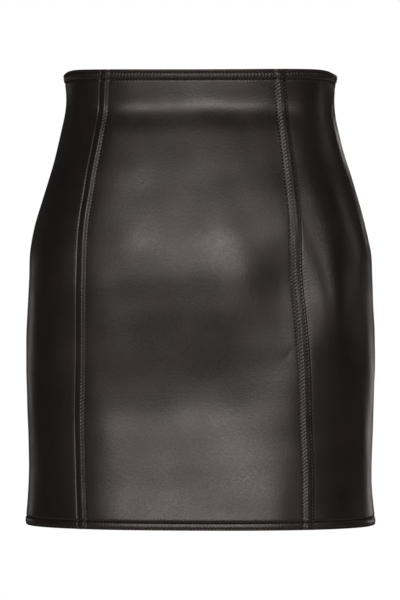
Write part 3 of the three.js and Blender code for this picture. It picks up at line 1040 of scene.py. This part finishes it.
class SKIRT_OT_topstitching(bpy.types.Operator):
    """Lays every stitch of the laps, the waist, the hem and the zip's sides"""

    bl_idname = "skirt.topstitching"
    bl_label = "Topstitching"

    def execute(self, context):
        shape = Shape(context.scene.skirt_sizes)
        self.laps(context, shape)
        for name, rows in (("waist", WAIST_ROWS), ("hem", [LENGTH - row for row in HEM_ROWS])):
            self.band(context, shape, name, rows)
        beside_zip = []
        sides = (("back_panel_left", False), ("back_panel_right", True))
        for seed, (key, from_start) in enumerate(sides, ZIP_SEED):
            bottom = ZIP_LENGTH + TAPE_BELOW
            line = upright_line(panels[key], ZIP_ROW, LINE_MARGIN, bottom, from_start)
            beside_zip.append(stitches(panels[key].outer, *line, shape, lean=0.1, seed=seed))
        self.finish(context, "zip_stitches", beside_zip)
        return {"FINISHED"}

    def laps(self, context, shape):
        """Two slanted rows down each lap of the front panel."""
        front = panels["front_panel"]
        for name, (first, _, second) in LAP_LINES.items():
            lines = []
            rows = ((first, -0.5), (second - 0.8, -0.9))
            for seed, (distance, lean) in enumerate(rows, LAP_SEED):
                span = (LINE_MARGIN, LENGTH - LINE_MARGIN)
                line = upright_line(front, distance, *span, name == "right")
                lines.append(stitches(front.outer, *line, shape, lean=lean, seed=seed))
            self.finish(context, f"lap_stitches_{name}", lines)

    def band(self, context, shape, name, rows):
        """Rows round the whole skirt, on both faces of every panel."""
        outside = []
        inside = []
        for seed, (key, panel) in enumerate(panels.items(), BAND_SEED):
            for down in rows:
                line = level_line(panel, down, *HIDDEN_MARGINS.get(key, BAND_MARGINS))
                outside.append(stitches(panel.outer, *line, shape, lean=0.1, seed=seed))
                inside.append(stitches(panel.inner, *line, shape, sign=-1, seed=seed + 10))
        self.finish(context, f"{name}_stitches", outside)
        self.finish(context, f"{name}_stitches_inside", inside)

    def finish(self, context, name, lines):
        """One mesh for a group of lines, riding on the skirt."""
        faces = ring_faces(len(STITCH_SHARES), STITCH_SIDES)
        piece = repeated(name, lines, *faces, [finish_of("waxed_thread", context)])
        settle(piece, "skirt", "thread")


# The zip's tape and teeth. Blocks have half sizes across, out and along.
TAPE_WIDTH = 27
TAPE_THICK = 0.8
TAPE_TOP = 2
TAPE_BELOW = 6
TAPE_CELLS = (46, 6)
TAPE_RIM = 0.4
CORD = {"tall": 0.28, "off_centre": 3.1, "wide": 0.6}
TOOTH_PITCH = 1.15
TOOTH_BLOCK = (1.42, 0.78, 0.46)
TOOTH_OFF_CENTRE = 1.05
TOOTH_HEIGHT = 0.8
STOPS_ROOM = 3
STOP_HEIGHT = 0.85
FOOT_STOP = (2.4, 0.75, 0.9)
HEAD_STOP = (1.0, 0.75, 0.9)
HEAD_OFF_CENTRE = 1.4


def centre_back(down, across, height):
    """A point near the centre back line, across towards the wearer's left."""
    return skin(further(np.pi, down, -across), down, height)


def tape_grid():
    """The tape as a flat strip, with a corded edge on each side of the teeth."""
    rows, columns = (cells * CELL for cells in TAPE_CELLS)
    bottom = ZIP_LENGTH + TAPE_BELOW
    down = np.linspace(TAPE_TOP, bottom, rows + 1)[:, None]
    across = np.linspace(TAPE_WIDTH / 2, -TAPE_WIDTH / 2, columns + 1)[None, :] + 0 * down
    cord = CORD["tall"] * bell(np.abs(across), CORD["off_centre"], CORD["wide"])
    ends = rounded(down - TAPE_TOP, TAPE_RIM) * rounded(bottom - down, TAPE_RIM)
    rim = ends * rounded(TAPE_WIDTH / 2 - np.abs(across), TAPE_RIM)
    middle = -SEAM_GAP - TAPE_THICK / 2
    outer = centre_back(down, across, middle + (TAPE_THICK / 2 + cord) * rim)
    inner = centre_back(down, across, middle - TAPE_THICK / 2 * rim)
    return outer, inner


BLOCK_SIDES = 10
BLOCK_LEVELS = 5
BLOCK_POWER = 0.45


def block_power(value):
    """A sine or cosine raised to the block's power, with its sign kept."""
    return np.sign(value) * np.abs(value) ** BLOCK_POWER


def rounded_block():
    """Points of a box of half size 1 with rounded edges: a superellipsoid, whose sine and cosine
    are both raised to a power below 1. One point at each pole comes last."""
    level = np.linspace(-np.pi / 2, np.pi / 2, BLOCK_LEVELS + 2)[1:-1, None]
    angle = np.linspace(0, 2 * np.pi, BLOCK_SIDES, endpoint=False)
    x = block_power(np.cos(level)) * block_power(np.cos(angle))
    y = block_power(np.cos(level)) * block_power(np.sin(angle))
    z = block_power(np.sin(level)) + 0 * x
    rings = np.stack([x, y, z], axis=-1).reshape(-1, 3)
    return np.concatenate([rings, [[0, 0, -1], [0, 0, 1]]])


def blocks_at(down, across, height, halves):
    """Copies of the rounded block on the centre back line, one for each place down it."""
    centre = centre_back(down, across, height)
    above = centre_back(down - 1, across, height)
    along_zip = unit(above - centre)
    left = unit(centre_back(down, across + 1, height) - centre)
    out = np.cross(left, along_zip)
    x, y, z = (rounded_block() * halves).T[..., None]
    return centre[:, None] + left[:, None] * x + out[:, None] * y + along_zip[:, None] * z


class SKIRT_OT_zip_tape(bpy.types.Operator):
    """Makes the woven tape of the centre back zip"""

    bl_idname = "skirt.zip_tape"
    bl_label = "Zip tape"

    def execute(self, context):
        outer, inner = tape_grid()
        plain = np.zeros(TAPE_CELLS, bool)
        plain[[0, -1]] = True
        corded = plain.copy()
        corded[:, 2:4] = True
        finish = finish_of("woven_tape", context)
        piece = closed_wall("zip_tape_woven", outer, inner, corded, plain, [finish, finish])
        settle(piece, "skirt", "zip_tape", "zip_tape")
        return {"FINISHED"}


class SKIRT_OT_zip_metal(bpy.types.Operator):
    """Makes the closed rows of teeth with their stops, and finishes the slider and its pull"""

    bl_idname = "skirt.zip_metal"
    bl_label = "Zip teeth, slider and pull"

    def execute(self, context):
        finish = finish_of("gunmetal", context)
        number = np.arange(int((ZIP_LENGTH - ZIP_TOP - STOPS_ROOM) / TOOTH_PITCH))
        down = ZIP_TOP + 1 + number * TOOTH_PITCH
        across = np.where(number % 2, 1, -1) * TOOTH_OFF_CENTRE
        teeth = blocks_at(down, across, TOOTH_HEIGHT + 0 * down, TOOTH_BLOCK)
        foot_down = np.array([ZIP_LENGTH - 1.0])
        foot = blocks_at(foot_down, np.zeros(1), np.array([STOP_HEIGHT]), FOOT_STOP)
        head_across = np.array([HEAD_OFF_CENTRE, -HEAD_OFF_CENTRE])
        head = blocks_at(np.full(2, ZIP_TOP - 0.2), head_across, np.full(2, STOP_HEIGHT), HEAD_STOP)
        faces = ring_faces(BLOCK_LEVELS, BLOCK_SIDES)
        piece = repeated("zip_teeth_metal", [teeth, foot, head], *faces, [finish])
        settle(piece, "skirt", "zip_metal", "zip_teeth")
        for name in ("zip_slider", "zip_pull"):
            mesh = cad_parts[name].data
            mesh.materials.clear()
            mesh.materials.append(finish)
        return {"FINISHED"}


# The studio. Directions are degrees round from the front towards +X, and degrees up.
PHOTO_HEIGHT = 600
MM_PER_PIXEL = 0.97
AXIS_OFF_CENTRE = 0.4
CAMERA = {"round": 5, "distance": 5000, "height": -152.8, "aim": -220.7}
SENSOR = 36
FLOOR = {"height": -1040, "radius": 2900, "edge": 30, "sides": 96}
FLOOR_RINGS = (0.02, 0.3, 0.6, 0.85, 0.98, 1.0)
LIGHTS = table(
    "round,up,distance,wide,tall,watts,warm",
    (-27, 10, 3200, 1200, 500, 17, 0.90),
    (0, 9, 3200, 1200, 500, 20, 0.90),
    (22, 8, 3200, 1200, 500, 16, 0.90),
    (57, 14, 3200, 700, 400, 6, 0.90),
    (-62, 6, 3200, 700, 800, 1, 0.88),
    (118, 10, 3200, 700, 1000, 1.3, 0.92),
    (154, -4, 3200, 500, 400, 1.1, 0.92),
    (-140, -2, 3200, 700, 350, 0.6, 0.92),
    (176, 8, 3200, 1200, 700, 18, 0.92),
)
AMBIENT = 0.03
AIM = Vector((0, 0, -0.22))


def direction(round_degrees, up_degrees):
    """The unit vector towards a place round the skirt and above it."""
    turn = np.radians(round_degrees)
    rise = np.radians(up_degrees)
    return Vector((np.sin(turn) * np.cos(rise), -np.cos(turn) * np.cos(rise), np.sin(rise)))


def look_at(piece, target):
    """Turns a camera or a light towards a point."""
    piece.rotation_euler = (target - piece.location).to_track_quat("-Z", "Y").to_euler()


class SKIRT_OT_stage(bpy.types.Operator):
    """Sets the floor, the lights and the camera"""

    bl_idname = "skirt.stage"
    bl_label = "Floor, lights and camera"

    def execute(self, context):
        self.floor(context.scene.skirt_looks)
        self.lights(context.scene)
        self.camera(context.scene)
        context.scene.view_settings.view_transform = "Standard"
        return {"FINISHED"}

    def floor(self, looks):
        """A round pale floor: rings of points about the middle, rolled down at the rim."""
        sides = FLOOR["sides"]
        share = np.array(FLOOR_RINGS)[:, None]
        angle = np.linspace(0, 2 * np.pi, sides, endpoint=False)
        x = FLOOR["radius"] * share * np.cos(angle)
        y = FLOOR["radius"] * share * np.sin(angle)
        z = FLOOR["height"] - FLOOR["edge"] * (share == 1) + 0 * x
        points = np.stack([x, y, z], axis=-1).reshape(-1, 3)
        quads = ring_faces(len(FLOOR_RINGS), sides)[0][:, ::-1]
        loops = np.concatenate([quads.ravel(), np.arange(sides)])
        sizes = np.concatenate([np.full(len(quads), 4), [sides]])
        material, tree, shader, place = new_material("studio_floor")
        grain = noise(tree, place, 60, 4.0)
        fill(tree, shader, {
            "Base Color": tint(tree, grain, looks.floor, 0.97),
            "Roughness": spread(tree, grain, 0.3, 0.7, 0.7, 0.8),
        })
        new_mesh("studio_floor", points, loops, sizes, [material])

    def lights(self, scene):
        """Soft panels of light, and a world that is white to the camera and dim to the leather."""
        for i, row in enumerate(LIGHTS):
            light = bpy.data.lights.new(f"panel_light_{i}", "AREA")
            light.shape = "RECTANGLE"
            light.size = row["wide"] * MM
            light.size_y = row["tall"] * MM
            light.energy = row["watts"]
            light.color = (1, row["warm"], row["warm"] - 0.05)
            lamp = bpy.data.objects.new(light.name, light)
            scene.collection.objects.link(lamp)
            lamp.location = AIM + direction(row["round"], row["up"]) * row["distance"] * MM
            look_at(lamp, AIM)
            lamp.visible_camera = False
        world = bpy.data.worlds.new("studio")
        world.use_nodes = True
        tree = world.node_tree
        tree.nodes.clear()
        seen = add_node(tree, "ShaderNodeLightPath").outputs["Is Camera Ray"]
        dim, white = (
            add_node(tree, "ShaderNodeBackground", {"Color": (1, 1, 1, 1), "Strength": strength})
            for strength in (AMBIENT, 1.0)
        )
        mixed = {0: seen, 1: dim.outputs[0], 2: white.outputs[0]}
        both = add_node(tree, "ShaderNodeMixShader", mixed)
        add_node(tree, "ShaderNodeOutputWorld", {"Surface": both.outputs[0]})
        scene.world = world

    def camera(self, scene):
        """A long lens level with the skirt, a little to the wearer's left of the front."""
        data = bpy.data.cameras.new("photo_camera")
        data.sensor_width = SENSOR
        data.lens = SENSOR * CAMERA["distance"] / (PHOTO_HEIGHT * MM_PER_PIXEL)
        camera = bpy.data.objects.new("photo_camera", data)
        scene.collection.objects.link(camera)
        turn = np.radians(CAMERA["round"])
        camera.location = direction(CAMERA["round"], 0) * CAMERA["distance"] * MM
        camera.location.z = CAMERA["height"] * MM
        aside = -AXIS_OFF_CENTRE * MM_PER_PIXEL * MM
        look_at(camera, Vector((aside * np.cos(turn), aside * np.sin(turn), CAMERA["aim"] * MM)))
        scene.camera = camera


PIECES = (
    SKIRT_OT_panels,
    SKIRT_OT_topstitching,
    SKIRT_OT_zip_tape,
    SKIRT_OT_zip_metal,
    SKIRT_OT_stage,
)


class SKIRT_PT_pieces(bpy.types.Panel):
    """Sizes, colours and the pieces in their order"""

    bl_label = "Leather mini skirt"
    bl_space_type = "VIEW_3D"
    bl_region_type = "UI"
    bl_category = "Skirt"

    def draw(self, context):
        for group in (context.scene.skirt_sizes, context.scene.skirt_looks):
            box = self.layout.box()
            for key in group.__annotations__:
                box.prop(group, key)
        for piece in PIECES:
            self.layout.operator(piece.bl_idname)


CLASSES = (SkirtSizes, SkirtLooks, *PIECES, SKIRT_PT_pieces)


def register():
    for item in CLASSES:
        bpy.utils.register_class(item)
    bpy.types.Scene.skirt_sizes = bpy.props.PointerProperty(type=SkirtSizes)
    bpy.types.Scene.skirt_looks = bpy.props.PointerProperty(type=SkirtLooks)


def unregister():
    del bpy.types.Scene.skirt_looks
    del bpy.types.Scene.skirt_sizes
    for item in reversed(CLASSES):
        bpy.utils.unregister_class(item)


def main():
    """Makes every piece in order."""
    register()
    bpy.ops.skirt.panels()
    bpy.ops.skirt.topstitching()
    bpy.ops.skirt.zip_tape()
    bpy.ops.skirt.zip_metal()
    bpy.ops.skirt.stage()


if __name__ == "__main__":
    main()
